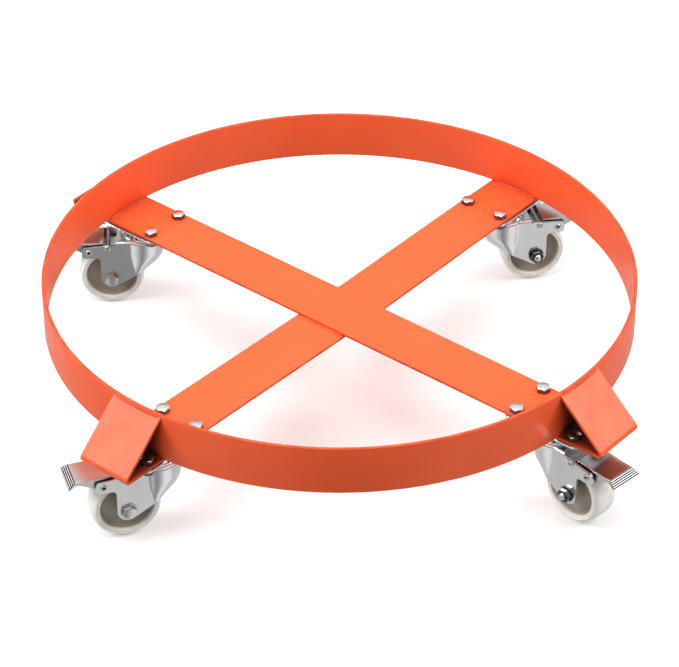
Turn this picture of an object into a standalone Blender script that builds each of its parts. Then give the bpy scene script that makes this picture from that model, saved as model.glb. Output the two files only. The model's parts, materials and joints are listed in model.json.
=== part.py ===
"""Drum dolly: a welded ring on two crossed flat bars, carried by four braked swivel casters.

Frame: +Z up, origin on the floor under the centre of the ring. The bars lie on the diagonals.
Each caster is modelled once about its own swivel axis, with the floor at z = 0 and the wheel
trailing towards +X, and is then copied to its four stations.
"""
import math

import bmesh
import bpy
from mathutils import Matrix, Vector

MM = 0.001
GAP = 0.3 * MM

# Ring
RING_RADIUS = 309.0 * MM
RING_WALL = 3.5 * MM
RING_HEIGHT = 53.5 * MM
RING_BOTTOM = 106.5 * MM
RING_TOP = RING_BOTTOM + RING_HEIGHT
RING_STEPS = 96

# Cross bars, each ending in a folded-back gusset bracket
BAR_WIDTH = 62.0 * MM
BAR_THICKNESS = 3.2 * MM
BAR_TOP = RING_BOTTOM - GAP
BAR_BOTTOM = BAR_TOP - BAR_THICKNESS
CROSSING_DROP = BAR_THICKNESS + GAP
CROSSING_HALF = BAR_WIDTH / 2 + 3.0 * MM
DIP_END = 235.0 * MM
FOLD_INNER_RADIUS = 2.0 * MM
FOLD_OUTER_RADIUS = FOLD_INNER_RADIUS + BAR_THICKNESS
FOLD_TIP = 359.0 * MM
FOLD_STEPS = 8
FLAP_TOP = RING_BOTTOM + 49.5 * MM
FLAP_OVERRUN = 12.0 * MM

# Casters: stations on the bars, and the way each one trails when the dolly is at rest
STATION_RADIUS = 284.5 * MM
STATIONS = {
    "rear_right": (45.0, 8.0),
    "rear_left": (135.0, 177.5),
    "front_left": (225.0, 192.5),
    "front_right": (315.0, -52.0),
}
TRAIL = 35.0 * MM
WHEEL_RADIUS = 36.0 * MM

# Mounting plate and its four bolts
PLATE_TOP = BAR_BOTTOM - GAP
PLATE_THICKNESS = 2.5 * MM
PLATE_BOTTOM = PLATE_TOP - PLATE_THICKNESS
PLATE_LENGTH = 92.0 * MM
PLATE_WIDTH = 64.0 * MM
PLATE_CORNER = 7.0 * MM
BOLT_SPACING_LONG = 70.5 * MM
BOLT_SPACING_WIDE = 44.45 * MM
BOLT_RADIUS = 4.0 * MM
BOLT_HOLE_RADIUS = 4.5 * MM
HEX_ACROSS_FLATS = 13.0 * MM
BOLT_HEAD_HEIGHT = 5.3 * MM
NUT_HEIGHT = 6.5 * MM
THREAD_PROUD = 2.4 * MM

# Swivel head
KINGPIN_RADIUS = 6.0 * MM
KINGPIN_HEAD_RADIUS = 11.0 * MM
KINGPIN_HEAD_HEIGHT = 4.5 * MM
RACE_RADIUS = 27.0 * MM
RACE_NECK_RADIUS = 20.5 * MM
RACE_NECK_TOP = 92.5 * MM
RACE_BOTTOM = 88.4 * MM

# Fork
FORK_SHEET = 2.5 * MM
FORK_HALF_WIDTH = 20.3 * MM
FORK_DECK_TOP = 83.0 * MM
FORK_DECK_RADIUS = 24.5 * MM
FORK_DECK_REAR = 28.0 * MM
FORK_BEND = 3.2 * MM
FORK_FRONT_CENTRE = 8.5 * MM
FORK_FLARE_LOW = 34.0 * MM
FORK_FLARE_HIGH = 62.0 * MM
FORK_REAR = 68.0 * MM
LOBE_RADIUS = 11.5 * MM
LEADING_EDGE_ANGLE = 148.9
NOTCH_TOP = 63.0 * MM
NOTCH_RADIUS = 4.5 * MM
ARM_TOP_FRONT = 79.3 * MM
ARM_TOP_REAR = 76.2 * MM
ARM_CORNER = 4.0 * MM
LOWER_RACE_RADIUS = 20.0 * MM
LOWER_RACE_TUBE = 4.5 * MM
AXLE_HOLE_RADIUS = 4.4 * MM
TIE_X = 38.0 * MM
TIE_Z = 75.2 * MM
TIE_RADIUS = 2.2 * MM
TIE_HEAD_RADIUS = 3.6 * MM
TIE_HEAD_HEIGHT = 1.2 * MM
FRONT_STEPS = 8

# Wheel
TREAD_INNER_RADIUS = 31.0 * MM
TREAD_HALF_WIDTH = 15.3 * MM
TREAD_SHOULDER = 5.0 * MM
TREAD_STEPS = 36
CORE_STEPS = 20
CORE_RADIUS = TREAD_INNER_RADIUS - GAP
CORE_RIM_HALF_WIDTH = 14.2 * MM
CORE_RIM_WALL = 2.6 * MM
CORE_WEB_HALF = 3.2 * MM
CORE_HUB_RADIUS = 10.0 * MM
CORE_HUB_HALF_WIDTH = 17.3 * MM
CORE_BORE_RADIUS = 4.6 * MM

# Brake pedal and its pivot
PEDAL_PIVOT = Vector((59.0 * MM, 0.0, 70.2 * MM))
PEDAL_SHEET = 1.8 * MM
PEDAL_HALF_WIDTH = 16.2 * MM
PEDAL_LIP_HALF_WIDTH = 19.3 * MM
PEDAL_TOP = 79.9 * MM
PEDAL_FRONT = 42.5 * MM
PEDAL_LIP_START = 86.0 * MM
PEDAL_LIP_END = Vector((94.2 * MM, 0.0, 74.4 * MM))
PEDAL_BOSS_RADIUS = 5.3 * MM
SHOE_HALF_WIDTH = 10.0 * MM
SHOE_FRONT = 62.4 * MM
SHOE_REAR = 64.4 * MM
SHOE_TIP = 63.4 * MM
PIN_RADIUS = 2.5 * MM
PIN_HOLE_RADIUS = 2.8 * MM
PIN_HEAD_RADIUS = 4.2 * MM
PIN_HEAD_HEIGHT = 1.3 * MM

SMOOTH_ANGLE = math.radians(35.0)
MERGE = 0.00001

FINISHES = {
    "ring_paint": ((0.86, 0.13, 0.03), 0.38, 0.0),
    "upper_bar_paint": ((0.87, 0.14, 0.04), 0.38, 0.0),
    "lower_bar_paint": ((0.85, 0.13, 0.04), 0.38, 0.0),
    "plate_zinc": ((0.72, 0.72, 0.73), 0.3, 1.0),
    "kingpin_steel": ((0.45, 0.45, 0.46), 0.4, 1.0),
    "race_steel": ((0.35, 0.36, 0.37), 0.35, 1.0),
    "fork_chrome": ((0.8, 0.79, 0.8), 0.15, 1.0),
    "core_polymer": ((0.42, 0.37, 0.32), 0.55, 0.0),
    "tread_polyurethane": ((0.76, 0.72, 0.65), 0.45, 0.0),
    "axle_steel": ((0.6, 0.6, 0.6), 0.28, 1.0),
    "nut_steel": ((0.62, 0.62, 0.61), 0.3, 1.0),
    "pedal_zinc": ((0.62, 0.62, 0.62), 0.25, 1.0),
    "pin_steel": ((0.58, 0.58, 0.58), 0.3, 1.0),
    "bolt_zinc": ((0.75, 0.75, 0.74), 0.25, 1.0),
}


def clear_scene():
    """Remove whatever the file opened with."""
    for obj in list(bpy.data.objects):
        bpy.data.objects.remove(obj, do_unlink=True)


def new_collection(name):
    collection = bpy.data.collections.new(name)
    bpy.context.scene.collection.children.link(collection)
    return collection


def finish_material(name):
    """A Principled material for one kind of piece."""
    if name in bpy.data.materials:
        return bpy.data.materials[name]
    colour, roughness, metallic = FINISHES[name]
    material = bpy.data.materials.new(name)
    material.use_nodes = True
    shader = material.node_tree.nodes["Principled BSDF"]
    shader.inputs["Base Color"].default_value = (*colour, 1.0)
    shader.inputs["Roughness"].default_value = roughness
    shader.inputs["Metallic"].default_value = metallic
    return material


def add_object(name, data, collection, parent=None):
    obj = bpy.data.objects.new(name, data)
    collection.objects.link(obj)
    obj.parent = parent
    return obj


def add_part(name, mesh, finish, parent=None):
    """A visible piece of the dolly, with its own material slot."""
    if not mesh.materials:
        mesh.materials.append(finish_material(finish))
    return add_object(name, mesh, PARTS, parent)


def add_empty(name, location, angle=0.0, parent=None):
    """An axis that pieces hang on."""
    empty = add_object(name, None, PARTS, parent)
    empty.location = location
    empty.rotation_euler = (0.0, 0.0, math.radians(angle))
    empty.empty_display_size = 0.02
    return empty


def add_cutter(name, mesh, location=(0.0, 0.0, 0.0), rotation=(0.0, 0.0, 0.0)):
    """A solid used only by Boolean modifiers."""
    cutter = add_object(name, mesh, CUTTERS)
    cutter.location = location
    cutter.rotation_euler = rotation
    cutter.hide_render = True
    cutter.display_type = "WIRE"
    return cutter


def add_boolean(obj, tool, operation):
    modifier = obj.modifiers.new(operation.lower(), "BOOLEAN")
    modifier.object = tool
    modifier.operation = operation
    modifier.solver = "EXACT"
    return modifier


def evaluated_mesh(obj, name):
    """The mesh that an object's modifiers or curve settings give, welded."""
    graph = bpy.context.evaluated_depsgraph_get()
    mesh = bpy.data.meshes.new_from_object(obj.evaluated_get(graph))
    mesh.name = name
    bm = bmesh.new()
    bm.from_mesh(mesh)
    bmesh.ops.remove_doubles(bm, verts=bm.verts, dist=MERGE)
    bm.to_mesh(mesh)
    bm.free()
    return mesh


def bake(obj):
    """Turn a scratch object into its final mesh and remove it with its tools."""
    bpy.context.view_layer.update()
    mesh = evaluated_mesh(obj, obj.name)
    tools = [m.object for m in obj.modifiers if m.type == "BOOLEAN"]
    for scratch in [obj] + tools:
        bpy.data.objects.remove(scratch, do_unlink=True)
    mesh.shade_smooth()
    mesh.set_sharp_from_angle(angle=SMOOTH_ANGLE)
    return mesh


def arc(centre, radius, start, end, steps):
    """Points on an arc, in degrees, both ends included."""
    points = []
    for i in range(steps + 1):
        angle = math.radians(start + (end - start) * i / steps)
        points.append((centre[0] + radius * math.cos(angle), centre[1] + radius * math.sin(angle)))
    return points


def flat_outline(name, loops, thickness):
    """A 2D curve filled on both faces and extruded to a thickness, as a welded mesh."""
    curve = bpy.data.curves.new(name, "CURVE")
    curve.dimensions = "2D"
    curve.fill_mode = "BOTH"
    curve.extrude = thickness / 2
    for loop in loops:
        spline = curve.splines.new("POLY")
        spline.points.add(len(loop) - 1)
        for point, (x, y) in zip(spline.points, loop):
            point.co = (x, y, 0.0, 1.0)
        spline.use_cyclic_u = True
    scratch = add_object(name, curve, CUTTERS)
    bpy.context.view_layer.update()
    mesh = evaluated_mesh(scratch, name)
    bpy.data.objects.remove(scratch, do_unlink=True)
    bpy.data.curves.remove(curve)
    return mesh


def side_plate(name, loops, width):
    """An outline drawn in X and Z, extruded evenly to both sides along Y."""
    mesh = flat_outline(name, loops, width)
    mesh.transform(Matrix.Rotation(math.pi / 2, 4, "X"))
    return mesh


def turned(name, profile, steps, closed=True, half_step=False):
    """A profile of (radius, height) points spun round Z by a Screw modifier."""
    mesh = bpy.data.meshes.new(name)
    bm = bmesh.new()
    verts = [bm.verts.new((radius, 0.0, height)) for radius, height in profile]
    for first, second in zip(verts, verts[1:]):
        bm.edges.new((first, second))
    if closed:
        bm.edges.new((verts[-1], verts[0]))
    if half_step:
        bmesh.ops.rotate(bm, verts=bm.verts, matrix=Matrix.Rotation(math.pi / steps, 3, "Z"))
    bm.to_mesh(mesh)
    bm.free()
    obj = add_object(name, mesh, CUTTERS)
    screw = obj.modifiers.new("spin", "SCREW")
    screw.axis = "Z"
    screw.angle = math.tau
    screw.steps = steps
    screw.render_steps = steps
    screw.use_merge_vertices = True
    screw.merge_threshold = MERGE
    return obj


def cylinder_mesh(name, radius, low, high, segments, turn=0.0):
    """A closed prism or cylinder on Z between two heights."""
    mesh = bpy.data.meshes.new(name)
    bm = bmesh.new()
    bmesh.ops.create_cone(
        bm, cap_ends=True, segments=segments, radius1=radius, radius2=radius, depth=high - low)
    bmesh.ops.rotate(bm, verts=bm.verts, matrix=Matrix.Rotation(turn, 3, "Z"))
    bmesh.ops.translate(bm, verts=bm.verts, vec=(0.0, 0.0, (low + high) / 2))
    bm.to_mesh(mesh)
    bm.free()
    return mesh


def box_mesh(name, low, high):
    mesh = bpy.data.meshes.new(name)
    bm = bmesh.new()
    bmesh.ops.create_cube(bm, size=1.0)
    size = Vector(high) - Vector(low)
    bmesh.ops.scale(bm, verts=bm.verts, vec=size)
    bmesh.ops.translate(bm, verts=bm.verts, vec=Vector(low) + size / 2)
    bm.to_mesh(mesh)
    bm.free()
    return mesh


def cross_hole(name, x, z, radius, segments=12):
    """A cutter along Y through both sides of the fork or pedal."""
    reach = FORK_HALF_WIDTH + 5 * MM
    mesh = cylinder_mesh(name, radius, -reach, reach, segments)
    return add_cutter(name, mesh, (x, 0.0, z), (math.pi / 2, 0.0, 0.0))


# --- Frame -------------------------------------------------------------------------------

def build_ring():
    inner = RING_RADIUS - RING_WALL
    profile = [(RING_RADIUS, RING_TOP), (RING_RADIUS, RING_BOTTOM), (inner, RING_BOTTOM), (inner, RING_TOP)]
    mesh = bake(turned("drum_ring", profile, RING_STEPS))
    add_part("drum_ring", mesh, "ring_paint")


def bar_outline(drop):
    """Side outline of a bar in (distance from the centre, height).

    The middle is lowered by drop. Each end folds back up to a flap that leans on the ring.
    """
    fold_centre = (FOLD_TIP - FOLD_OUTER_RADIUS, BAR_BOTTOM + FOLD_OUTER_RADIUS)
    rise = FLAP_TOP - fold_centre[1]
    run = RING_RADIUS - fold_centre[0]
    reach = math.hypot(rise, run)
    normal_angle = math.atan2(rise, run) - math.acos(FOLD_OUTER_RADIUS / reach)
    normal = (math.cos(normal_angle), math.sin(normal_angle))
    flap_length = math.sqrt(reach ** 2 - FOLD_OUTER_RADIUS ** 2) + FLAP_OVERRUN
    along = (-normal[1] * flap_length, normal[0] * flap_length)
    turn_end = math.degrees(normal_angle)

    outer = [(CROSSING_HALF, BAR_BOTTOM - drop)]
    if drop:
        outer.append((DIP_END, BAR_BOTTOM))
    outer += arc(fold_centre, FOLD_OUTER_RADIUS, -90.0, turn_end, FOLD_STEPS)
    outer.append((outer[-1][0] + along[0], outer[-1][1] + along[1]))

    inner = [(CROSSING_HALF, BAR_TOP - drop)]
    if drop:
        inner.append((DIP_END, BAR_TOP))
    inner += arc(fold_centre, FOLD_INNER_RADIUS, -90.0, turn_end, FOLD_STEPS)
    inner.append((inner[-1][0] + along[0], inner[-1][1] + along[1]))

    if not drop:
        outer = outer[1:]
        inner = inner[1:]
    right = outer + inner[::-1]
    left = [(-x, z) for x, z in reversed(right)]
    return right + left


def bolt_stations():
    """Bolt places round one caster, as offsets along and across the bar."""
    return [(along * BOLT_SPACING_LONG / 2, across * BOLT_SPACING_WIDE / 2)
            for along in (-1, 1) for across in (-1, 1)]


def build_bar(name, finish, angle, drop):
    """One flat bar with its two brackets, drilled for the casters' bolts."""
    bar = add_part(name, side_plate(name, [bar_outline(drop)], BAR_WIDTH), finish)
    bar.rotation_euler = (0.0, 0.0, math.radians(angle))

    clearance = cylinder_mesh(
        name + "_ring_clearance", RING_RADIUS + GAP, RING_BOTTOM - GAP / 2, RING_TOP + 0.1, RING_STEPS)
    add_boolean(bar, add_cutter(name + "_ring_clearance", clearance), "DIFFERENCE")

    holes = bmesh.new()
    for side in (-1, 1):
        for along, across in bolt_stations():
            place = Matrix.Translation((side * STATION_RADIUS + along, across, BAR_BOTTOM))
            bmesh.ops.create_cone(
                holes, cap_ends=True, segments=10, radius1=BOLT_HOLE_RADIUS,
                radius2=BOLT_HOLE_RADIUS, depth=4 * BAR_THICKNESS, matrix=place)
    mesh = bpy.data.meshes.new(name + "_bolt_holes")
    holes.to_mesh(mesh)
    holes.free()
    cutter = add_cutter(name + "_bolt_holes", mesh, rotation=(0.0, 0.0, math.radians(angle)))
    add_boolean(bar, cutter, "DIFFERENCE")


# --- Caster pieces, each about its own swivel axis --------------------------------------------

def rounded_rectangle(length, width, corner, steps):
    loop = []
    for turn, sx, sy in ((0, 1, 1), (90, -1, 1), (180, -1, -1), (270, 1, -1)):
        centre = (sx * (length / 2 - corner), sy * (width / 2 - corner))
        loop += arc(centre, corner, turn, turn + 90, steps)
    return loop


def plate_mesh():
    loops = [rounded_rectangle(PLATE_LENGTH, PLATE_WIDTH, PLATE_CORNER, 3)]
    for centre in bolt_stations():
        loops.append(arc(centre, BOLT_HOLE_RADIUS, 0, 324, 9))
    loops.append(arc((0.0, 0.0), KINGPIN_RADIUS + 1.5 * GAP, 0, 337.5, 15))
    mesh = flat_outline("top_plate", loops, PLATE_THICKNESS)
    mesh.transform(Matrix.Translation((0.0, 0.0, PLATE_TOP - PLATE_THICKNESS / 2)))
    return mesh


def mounting_bolt_mesh():
    """A hex bolt through bar and plate, with its nut drawn up under the plate."""
    corner = HEX_ACROSS_FLATS / math.sqrt(3)
    head_low = BAR_TOP + GAP
    nut_high = PLATE_BOTTOM - GAP
    nut_low = nut_high - NUT_HEIGHT
    shank = cylinder_mesh("mounting_bolt", BOLT_RADIUS, nut_low - THREAD_PROUD, head_low + MM, 10)
    bolt = add_object("mounting_bolt", shank, CUTTERS)
    head = cylinder_mesh("bolt_head", corner, head_low, head_low + BOLT_HEAD_HEIGHT, 6, 0.2)
    nut = cylinder_mesh("bolt_nut", corner, nut_low, nut_high, 6, 0.5)
    add_boolean(bolt, add_cutter("bolt_head", head), "UNION")
    add_boolean(bolt, add_cutter("bolt_nut", nut), "UNION")
    return bake(bolt)


def kingpin_mesh():
    head_top = FORK_DECK_TOP - FORK_SHEET - GAP
    head_low = head_top - KINGPIN_HEAD_HEIGHT
    profile = [
        (0.0, PLATE_TOP - GAP),
        (KINGPIN_RADIUS, PLATE_TOP - GAP),
        (KINGPIN_RADIUS, head_top),
        (KINGPIN_HEAD_RADIUS, head_top),
        (KINGPIN_HEAD_RADIUS, head_low + MM),
        (KINGPIN_HEAD_RADIUS - MM, head_low),
        (0.0, head_low),
    ]
    return bake(turned("kingpin", profile, 16, closed=False))


def race_mesh():
    """The dished upper race pressed against the plate, open for the kingpin."""
    top = PLATE_BOTTOM - GAP
    bore = KINGPIN_RADIUS + GAP
    profile = [
        (RACE_RADIUS, top),
        (RACE_RADIUS, top - 1.5 * MM),
        (RACE_NECK_RADIUS, RACE_NECK_TOP),
        (RACE_NECK_RADIUS, RACE_BOTTOM),
        (bore, RACE_BOTTOM),
        (bore, top),
    ]
    return bake(turned("swivel_race", profile, 24))


def fork_levels():
    """Plan outlines of the fork's outer face, from its foot to its deck."""
    start = math.degrees(math.asin(FORK_HALF_WIDTH / FORK_DECK_RADIUS))
    left = [(FORK_REAR, FORK_HALF_WIDTH), (FORK_DECK_REAR + 3 * MM, FORK_HALF_WIDTH)]
    right = [(x, -y) for x, y in reversed(left)]
    foot = left + arc((FORK_FRONT_CENTRE, 0.0), FORK_HALF_WIDTH, 90.0, 270.0, FRONT_STEPS) + right
    deck = left + arc((0.0, 0.0), FORK_DECK_RADIUS, start, 360.0 - start, FRONT_STEPS) + right
    foot_height = WHEEL_RADIUS - LOBE_RADIUS - 5 * MM
    return [(foot, foot_height), (foot, FORK_FLARE_LOW), (deck, FORK_FLARE_HIGH), (deck, FORK_DECK_TOP)]


def fork_surface():
    """The fork's outer face as an open sheet: two cheeks, a flared front and a short deck."""
    bm = bmesh.new()
    rows = []
    for outline, height in fork_levels():
        rows.append([bm.verts.new((x, y, height)) for x, y in outline])
    for low, high in zip(rows, rows[1:]):
        for i in range(len(low) - 1):
            bm.faces.new((low[i], low[i + 1], high[i + 1], high[i]))
    bm.faces.new(rows[-1][1:-1])
    bmesh.ops.recalc_face_normals(bm, faces=bm.faces)
    mesh = bpy.data.meshes.new("fork")
    bm.to_mesh(mesh)
    bm.free()
    return mesh


def fork_side_outline():
    """Side view of the fork: leading edge, axle lobe, notch and trailing arm."""
    loop = arc((TRAIL, WHEEL_RADIUS), LOBE_RADIUS, 0.0, LEADING_EDGE_ANGLE - 270.0, 9)
    slope = math.radians(LEADING_EDGE_ANGLE)
    run = loop[-1][0] + FORK_DECK_RADIUS + 5 * MM
    loop.append((loop[-1][0] - run, loop[-1][1] - run * math.tan(slope)))
    loop.append((loop[-1][0], FORK_DECK_TOP + 5 * MM))
    loop.append((FORK_DECK_REAR, FORK_DECK_TOP + 5 * MM))
    loop.append((FORK_DECK_REAR, ARM_TOP_FRONT))
    rear = FORK_REAR - MM
    loop += arc((rear - ARM_CORNER, ARM_TOP_REAR - ARM_CORNER), ARM_CORNER, 85.0, 0.0, 3)
    loop += arc((rear - ARM_CORNER, NOTCH_TOP + ARM_CORNER), ARM_CORNER, 0.0, -90.0, 3)
    notch = TRAIL + LOBE_RADIUS + NOTCH_RADIUS
    loop += arc((notch, NOTCH_TOP - NOTCH_RADIUS), NOTCH_RADIUS, 90.0, 180.0, 4)
    return loop


def fork_mesh():
    fork = add_object("fork", fork_surface(), CUTTERS)
    bend = fork.modifiers.new("deck bend", "BEVEL")
    bend.width = FORK_BEND
    bend.segments = 2
    bend.limit_method = "ANGLE"
    bend.angle_limit = math.radians(60.0)
    sheet = fork.modifiers.new("sheet", "SOLIDIFY")
    sheet.thickness = FORK_SHEET
    sheet.offset = -1.0
    sheet.use_even_offset = True

    outline = side_plate("fork_side", [fork_side_outline()], 4 * FORK_HALF_WIDTH)
    add_boolean(fork, add_cutter("fork_side", outline), "INTERSECT")

    race = turned("lower_race", lower_race_profile(), 20)
    add_boolean(fork, race, "UNION")

    kingpin = cylinder_mesh(
        "kingpin_hole", KINGPIN_RADIUS + GAP, FORK_DECK_TOP - 10 * MM, FORK_DECK_TOP + 10 * MM, 16)
    add_boolean(fork, add_cutter("kingpin_hole", kingpin), "DIFFERENCE")
    add_boolean(fork, cross_hole("axle_hole", TRAIL, WHEEL_RADIUS, AXLE_HOLE_RADIUS), "DIFFERENCE")
    pivot = cross_hole("pin_hole", PEDAL_PIVOT.x, PEDAL_PIVOT.z, PIN_HOLE_RADIUS)
    add_boolean(fork, pivot, "DIFFERENCE")
    tie = turned("tie_rivet", tie_rivet_profile(), 10, closed=False)
    tie.location = (TIE_X, 0.0, TIE_Z)
    tie.rotation_euler = (math.pi / 2, 0.0, 0.0)
    add_boolean(fork, tie, "UNION")
    return bake(fork)


def tie_rivet_profile():
    """The rivet that ties the two cheeks together in front of the pedal."""
    inside = FORK_HALF_WIDTH - FORK_SHEET / 2
    face = FORK_HALF_WIDTH + TIE_HEAD_HEIGHT
    half = [(0.0, face), (TIE_HEAD_RADIUS, face), (TIE_HEAD_RADIUS, inside), (TIE_RADIUS, inside)]
    return half + [(radius, -height) for radius, height in reversed(half)]


def lower_race_profile():
    """A raised ring on the deck, rounded on top, that the balls run on."""
    crown = arc((LOWER_RACE_RADIUS, FORK_DECK_TOP), LOWER_RACE_TUBE, 180.0, 0.0, 4)
    foot = FORK_DECK_TOP - FORK_SHEET / 2
    inner = LOWER_RACE_RADIUS - LOWER_RACE_TUBE
    outer = FORK_DECK_RADIUS - 0.5 * MM
    crown = [(min(radius, outer), height) for radius, height in crown]
    return crown + [(outer, foot), (inner, foot)]


def wheel_turn():
    """Turns a piece spun round Z so that it lies on the wheel's axle."""
    return Matrix.Rotation(math.pi / 2, 4, "X")


def tread_mesh():
    """The tyre, with one flat facet resting on the floor."""
    facet = 1.0 / math.cos(math.pi / TREAD_STEPS)
    shoulder = WHEEL_RADIUS - TREAD_SHOULDER
    flank = TREAD_HALF_WIDTH - TREAD_SHOULDER
    upper = arc((shoulder, flank), TREAD_SHOULDER, 75.0, 0.0, 3)
    profile = upper + [(radius, -height) for radius, height in reversed(upper)]
    profile += [(TREAD_INNER_RADIUS, -TREAD_HALF_WIDTH), (TREAD_INNER_RADIUS, TREAD_HALF_WIDTH)]
    profile = [(radius * facet, height) for radius, height in profile]
    mesh = bake(turned("tread", profile, TREAD_STEPS, half_step=True))
    mesh.transform(wheel_turn())
    mesh.transform(Matrix.Rotation(math.pi / 2, 4, "Y"))
    return mesh


def core_mesh():
    """The wheel's centre: rim, recessed web and hub."""
    rim = CORE_RADIUS - CORE_RIM_WALL
    right = [
        (CORE_RADIUS, -CORE_RIM_HALF_WIDTH),
        (rim, -CORE_RIM_HALF_WIDTH),
        (rim - 1.5 * MM, -CORE_WEB_HALF),
        (CORE_HUB_RADIUS + MM, -CORE_WEB_HALF),
        (CORE_HUB_RADIUS, -CORE_HUB_HALF_WIDTH),
        (CORE_BORE_RADIUS, -CORE_HUB_HALF_WIDTH),
    ]
    profile = right + [(radius, -height) for radius, height in reversed(right)]
    mesh = bake(turned("wheel_core", profile, CORE_STEPS))
    mesh.transform(wheel_turn())
    return mesh


def axle_bolt_mesh():
    """The axle: hex head on the +Y side, thread end past the nut on the -Y side."""
    face = FORK_HALF_WIDTH + GAP
    tail = face + NUT_HEIGHT + THREAD_PROUD
    shank = cylinder_mesh("axle_bolt", BOLT_RADIUS, -face - MM, tail, 12)
    bolt = add_object("axle_bolt", shank, CUTTERS)
    corner = HEX_ACROSS_FLATS / math.sqrt(3)
    head = cylinder_mesh("axle_head", corner, -face - BOLT_HEAD_HEIGHT, -face, 6, 0.3)
    add_boolean(bolt, add_cutter("axle_head", head), "UNION")
    mesh = bake(bolt)
    mesh.transform(wheel_turn())
    return mesh


def axle_nut_mesh():
    face = FORK_HALF_WIDTH + GAP
    corner = HEX_ACROSS_FLATS / math.sqrt(3)
    hexagon = arc((0.0, 0.0), corner, 10.0, 310.0, 5)
    bore = arc((0.0, 0.0), BOLT_RADIUS + 1.5 * GAP, 0.0, 330.0, 11)
    mesh = flat_outline("axle_nut", [hexagon, bore], NUT_HEIGHT)
    mesh.transform(Matrix.Translation((0.0, 0.0, face + NUT_HEIGHT / 2)))
    mesh.transform(wheel_turn())
    return mesh


def pedal_outline():
    """Side view of the whole pedal: plate, lip and the flange down to the pivot boss."""
    lip_direction = (PEDAL_LIP_END - Vector((PEDAL_LIP_START, 0.0, PEDAL_TOP))).normalized()
    under = Vector((lip_direction.z, 0.0, -lip_direction.x)) * PEDAL_SHEET
    tip = PEDAL_LIP_END + under
    heel = Vector((PEDAL_LIP_START, 0.0, PEDAL_TOP)) + under
    loop = [
        (PEDAL_FRONT, PEDAL_TOP),
        (PEDAL_LIP_START, PEDAL_TOP),
        (PEDAL_LIP_END.x, PEDAL_LIP_END.z),
        (tip.x, tip.z),
        (heel.x - 1.5 * MM, heel.z - 2.5 * MM),
    ]
    loop += arc((PEDAL_PIVOT.x, PEDAL_PIVOT.z), PEDAL_BOSS_RADIUS, -60.0, -210.0, 8)
    loop.append((PEDAL_FRONT, PEDAL_TOP - 2.5 * PEDAL_SHEET))
    return loop


def pedal_hollow():
    """Side view of the space under the plate, between the flanges."""
    lip_direction = (PEDAL_LIP_END - Vector((PEDAL_LIP_START, 0.0, PEDAL_TOP))).normalized()
    under = Vector((lip_direction.z, 0.0, -lip_direction.x)) * PEDAL_SHEET
    ceiling = PEDAL_TOP - PEDAL_SHEET
    slope = lip_direction.z / lip_direction.x
    heel_x = PEDAL_LIP_START + under.x
    heel_z = PEDAL_TOP + under.z
    corner_x = heel_x + (ceiling - heel_z) / slope
    end_x = PEDAL_LIP_END.x + 10 * MM
    return [
        (PEDAL_FRONT - 5 * MM, ceiling),
        (corner_x, ceiling),
        (end_x, ceiling + (end_x - corner_x) * slope),
        (end_x, PEDAL_PIVOT.z - 20 * MM),
        (PEDAL_FRONT - 5 * MM, PEDAL_PIVOT.z - 20 * MM),
    ]


def pedal_plan():
    """Plan of the pedal: straight sides, flaring out along the lip."""
    front = PEDAL_FRONT - 5 * MM
    flare = (PEDAL_LIP_HALF_WIDTH - PEDAL_HALF_WIDTH) / (PEDAL_LIP_END.x - PEDAL_LIP_START)
    back = PEDAL_LIP_END.x + 5 * MM
    wide = PEDAL_HALF_WIDTH + flare * (back - PEDAL_LIP_START)
    side = [(front, PEDAL_HALF_WIDTH), (PEDAL_LIP_START, PEDAL_HALF_WIDTH), (back, wide)]
    return [(x, -y) for x, y in side] + side[::-1]


def pedal_mesh():
    """A pressed channel with a downturned lip and a shoe that meets the tread when pressed."""
    side = side_plate("pedal", [pedal_outline()], 3 * PEDAL_HALF_WIDTH)
    pedal = add_object("pedal", side, CUTTERS)
    plan = flat_outline("pedal_plan", [pedal_plan()], 0.2)
    add_boolean(pedal, add_cutter("pedal_plan", plan), "INTERSECT")
    inside = 2 * (PEDAL_HALF_WIDTH - PEDAL_SHEET)
    hollow = side_plate("pedal_hollow", [pedal_hollow()], inside)
    add_boolean(pedal, add_cutter("pedal_hollow", hollow), "DIFFERENCE")
    shoe = box_mesh(
        "brake_shoe", (SHOE_FRONT, -SHOE_HALF_WIDTH, SHOE_TIP),
        (SHOE_REAR, SHOE_HALF_WIDTH, PEDAL_TOP - PEDAL_SHEET / 2))
    add_boolean(pedal, add_cutter("brake_shoe", shoe), "UNION")
    pivot = cross_hole("pedal_hole", PEDAL_PIVOT.x, PEDAL_PIVOT.z, PIN_HOLE_RADIUS)
    add_boolean(pedal, pivot, "DIFFERENCE")
    return bake(pedal)


def brake_pin_mesh():
    """The riveted pin that the pedal turns on, headed outside both cheeks."""
    face = FORK_HALF_WIDTH + GAP
    half = [
        (0.0, face + PIN_HEAD_HEIGHT),
        (PIN_HEAD_RADIUS - 0.6 * MM, face + PIN_HEAD_HEIGHT),
        (PIN_HEAD_RADIUS, face + PIN_HEAD_HEIGHT / 2),
        (PIN_HEAD_RADIUS, face),
        (PIN_RADIUS, face),
    ]
    profile = half + [(radius, -height) for radius, height in reversed(half)]
    mesh = bake(turned("brake_pin", profile, 12, closed=False))
    mesh.transform(wheel_turn())
    return mesh


# --- Assembly ----------------------------------------------------------------------------

def shifted(mesh, offset):
    """The mesh, moved so that its own axis passes through its object's origin."""
    mesh.transform(Matrix.Translation(offset))
    return mesh


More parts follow.
